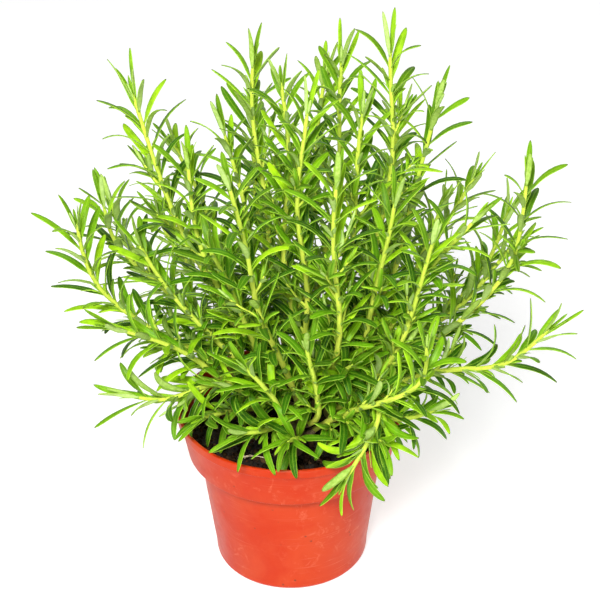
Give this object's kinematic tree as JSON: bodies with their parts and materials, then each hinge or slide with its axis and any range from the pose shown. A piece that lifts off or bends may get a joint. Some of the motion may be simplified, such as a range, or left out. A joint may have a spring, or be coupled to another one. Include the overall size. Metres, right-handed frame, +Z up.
{
  "type": "potted rosemary plant",
  "caption": "Bushy young rosemary in a round tapered plastic nursery pot with a deep collar and rolled lip; needle-leaved green shoots branch from woody bases rooted in dark potting soil.",
  "frame": {"origin": "middle of the pot's base, on the surface it stands on", "axes": "+Z up along the pot's axis; -Y is the front, where the soil shows at the left; +X to the right"},
  "size_m": [0.2823, 0.2333, 0.3254],
  "materials": {
    "pot_plastic": "satin",
    "soil": "matte",
    "bark": "matte",
    "shoot_green": "satin",
    "dry_root": "matte"
  },
  "bodies": {
    "root": {"pot": "pot_plastic", "potting_soil": "soil", "crown_left": "bark", "crown_back": "bark", "crown_right": "bark", "crown_side": "bark", "crown_front": "bark", "crown_mid": "bark", "shoot_01": "shoot_green", "shoot_02": "shoot_green", "shoot_03": "shoot_green", "shoot_04": "shoot_green", "shoot_05": "shoot_green", "shoot_06": "shoot_green", "shoot_07": "shoot_green", "shoot_08": "shoot_green", "shoot_09": "shoot_green", "shoot_10": "shoot_green", "shoot_11": "shoot_green", "shoot_12": "shoot_green", "shoot_13": "shoot_green", "shoot_14": "shoot_green", "shoot_15": "shoot_green", "shoot_16": "shoot_green", "shoot_17": "shoot_green", "shoot_18": "shoot_green", "shoot_19": "shoot_green", "shoot_20": "shoot_green", "shoot_21": "shoot_green", "shoot_22": "shoot_green", "shoot_23": "shoot_green", "shoot_24": "shoot_green", "shoot_25": "shoot_green", "shoot_26": "shoot_green", "shoot_27": "shoot_green", "shoot_28": "shoot_green", "shoot_29": "shoot_green", "shoot_30": "shoot_green", "shoot_31": "shoot_green", "shoot_32": "shoot_green", "shoot_33": "shoot_green", "shoot_34": "shoot_green", "shoot_35": "shoot_green", "shoot_36": "shoot_green", "shoot_37": "shoot_green", "shoot_38": "shoot_green", "shoot_39": "shoot_green", "shoot_40": "shoot_green", "shoot_41": "shoot_green", "shoot_42": "shoot_green", "shoot_43": "shoot_green", "shoot_44": "shoot_green", "shoot_45": "shoot_green", "shoot_46": "shoot_green", "shoot_47": "shoot_green", "shoot_48": "shoot_green", "dry_twig": "dry_root"}
  },
  "joints": []
}
